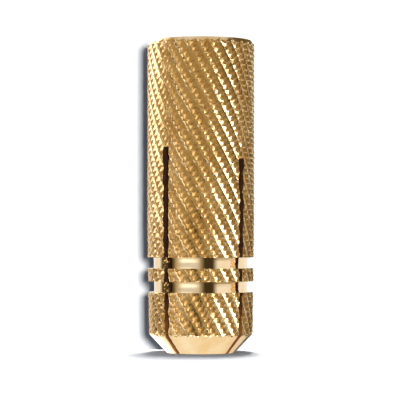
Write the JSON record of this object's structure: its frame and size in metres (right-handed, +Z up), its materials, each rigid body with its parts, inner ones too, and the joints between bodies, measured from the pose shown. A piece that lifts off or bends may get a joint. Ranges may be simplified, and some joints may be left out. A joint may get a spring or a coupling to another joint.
{
  "type": "expansion anchor",
  "caption": "Knurled brass sleeve with a threaded mouth, two grooves and a slotted, tapered tip that a bolt spreads in a drilled hole.",
  "frame": {"origin": "centre of the flat face at the slotted tip, on which the anchor stands", "axes": "+Z up along the axis to the threaded mouth, -Y to the side that shows both saw cuts, the deeper cut running 49.3 degrees from +X"},
  "size_m": [0.01, 0.01, 0.0288],
  "materials": {
    "brass": "knurled and turned, uncoated"
  },
  "bodies": {
    "root": {"sleeve": "brass"}
  },
  "joints": []
}
